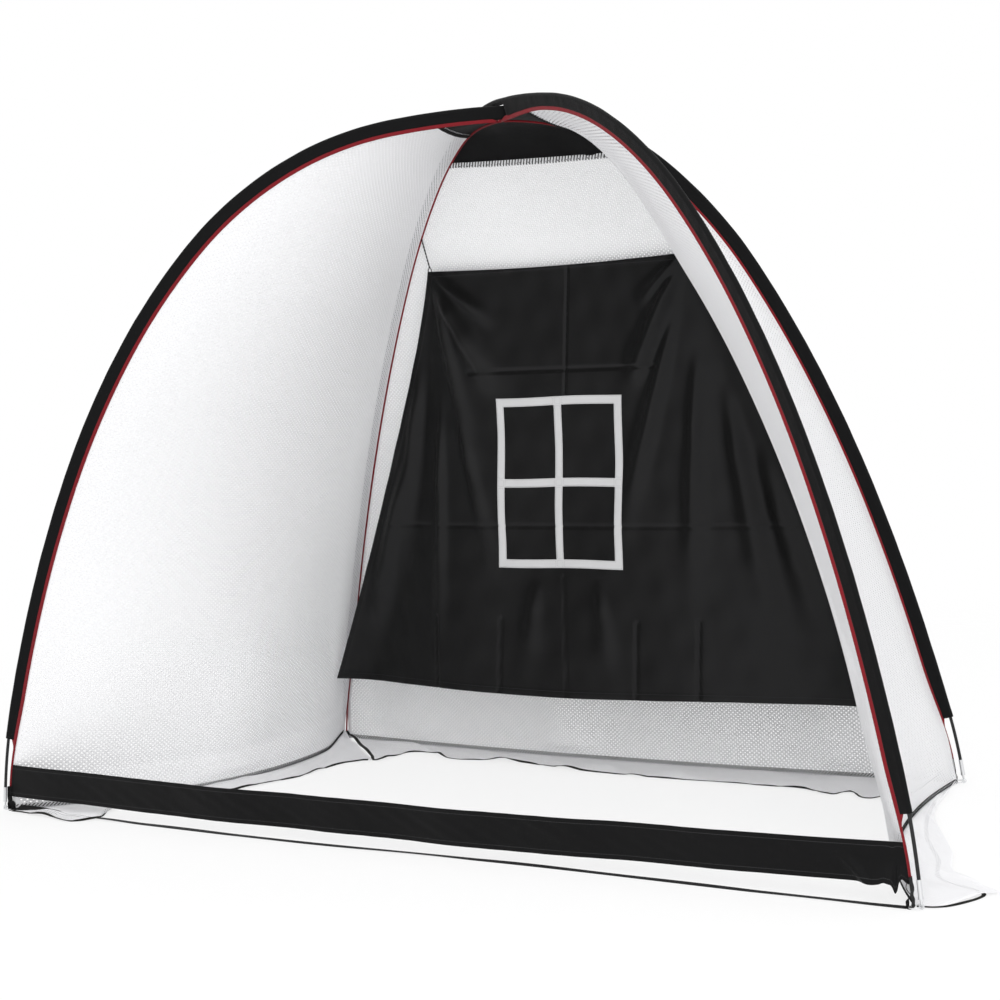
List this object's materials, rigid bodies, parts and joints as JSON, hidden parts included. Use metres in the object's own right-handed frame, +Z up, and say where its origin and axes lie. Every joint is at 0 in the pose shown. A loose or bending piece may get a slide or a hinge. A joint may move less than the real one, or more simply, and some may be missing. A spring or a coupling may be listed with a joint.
{
  "type": "pitching target net",
  "caption": "Pop-up pitching net: crossed bent poles carry white net walls, a hanging black target sheet with a strike zone frame and a low front band.",
  "frame": {"origin": "on the ground under the middle of the overall box", "axes": "+X to the thrower's right along the open front, +Y away from the thrower, +Z up"},
  "size_m": [3.177, 1.4004, 2.1141],
  "materials": {
    "black_fibreglass": "smooth black fibreglass",
    "bright_steel": "bright steel",
    "black_sleeve_cloth": "woven polyester",
    "red_piping": "corded piping",
    "white_netting": "fine polyester mesh",
    "white_skirt_cloth": "fine polyester mesh",
    "black_patch_cloth": "woven polyester",
    "black_binding": "ribbed binding",
    "black_webbing": "woven webbing",
    "black_target_cloth": "light nylon",
    "black_band_cloth": "light nylon",
    "black_cord": "braided cord",
    "grey_tape": "sewn tape"
  },
  "bodies": {
    "tent": {"apex_knot": "red_piping", "corner_strap_front_left": "black_webbing", "corner_strap_front_right": "black_webbing", "corner_strap_rear_left": "black_webbing", "corner_strap_rear_right": "black_webbing", "end_ferrule_front_left": "bright_steel", "end_ferrule_front_right": "bright_steel", "end_ferrule_rear_left": "bright_steel", "end_ferrule_rear_right": "bright_steel", "front_band": "black_band_cloth", "ground_strap": "black_webbing", "hem_back": "black_binding", "hem_left": "black_binding", "hem_right": "black_binding", "net_back": "white_netting", "net_left": "white_netting", "net_right": "white_netting", "patch_back": "black_patch_cloth", "patch_left": "black_patch_cloth", "patch_right": "black_patch_cloth", "pin_front_left": "bright_steel", "pin_front_right": "bright_steel", "pin_rear_left": "bright_steel", "pin_rear_right": "bright_steel", "piping_front_left": "red_piping", "piping_front_right": "red_piping", "piping_rear_left": "red_piping", "piping_rear_right": "red_piping", "pole_a_ferrules": "bright_steel", "pole_a_section_1": "black_fibreglass", "pole_a_section_2": "black_fibreglass", "pole_a_section_3": "black_fibreglass", "pole_a_section_4": "black_fibreglass", "pole_a_section_5": "black_fibreglass", "pole_a_section_6": "black_fibreglass", "pole_a_section_7": "black_fibreglass", "pole_a_section_8": "black_fibreglass", "pole_b_ferrules": "bright_steel", "pole_b_section_1": "black_fibreglass", "pole_b_section_2": "black_fibreglass", "pole_b_section_3": "black_fibreglass", "pole_b_section_4": "black_fibreglass", "pole_b_section_5": "black_fibreglass", "pole_b_section_6": "black_fibreglass", "pole_b_section_7": "black_fibreglass", "pole_b_section_8": "black_fibreglass", "skirt_back": "white_skirt_cloth", "skirt_left": "white_skirt_cloth", "skirt_right": "white_skirt_cloth", "sleeve_a": "black_sleeve_cloth", "sleeve_b": "black_sleeve_cloth"},
    "target": {"target_sheet": "black_target_cloth", "strike_zone_frame": "grey_tape", "target_tie_left": "black_cord", "target_tie_right": "black_cord"},
    "ring_front_left": {"ring_front_left": "bright_steel"},
    "ring_front_right": {"ring_front_right": "bright_steel"},
    "ring_rear_left": {"ring_rear_left": "bright_steel"},
    "ring_rear_right": {"ring_rear_right": "bright_steel"}
  },
  "joints": [
    {"name": "target_swing", "type": "hinge", "parent": "tent", "child": "target", "pos_m": [-0.5695, 0.42145, 1.73245], "axis": [0.9998, 0.0004, -0.0184], "range_deg": [-40, 6]},
    {"name": "ring_front_left_lift", "type": "hinge", "parent": "tent", "child": "ring_front_left", "pos_m": [-1.58147, -0.61004, 0.007], "axis": [0.0151, -0.9999, 0], "range_deg": [0, 28]},
    {"name": "ring_front_right_lift", "type": "hinge", "parent": "tent", "child": "ring_front_right", "pos_m": [1.4679, -0.61004, 0.007], "axis": [0.015, 0.9999, 0], "range_deg": [0, 28]},
    {"name": "ring_rear_left_lift", "type": "hinge", "parent": "tent", "child": "ring_rear_left", "pos_m": [-1.21618, 0.68963, 0.007], "axis": [-0.4358, -0.9001, 0], "range_deg": [0, 28]},
    {"name": "ring_rear_right_lift", "type": "hinge", "parent": "tent", "child": "ring_rear_right", "pos_m": [1.1026, 0.68963, 0.007], "axis": [-0.4358, 0.9001, 0], "range_deg": [0, 28]}
  ]
}
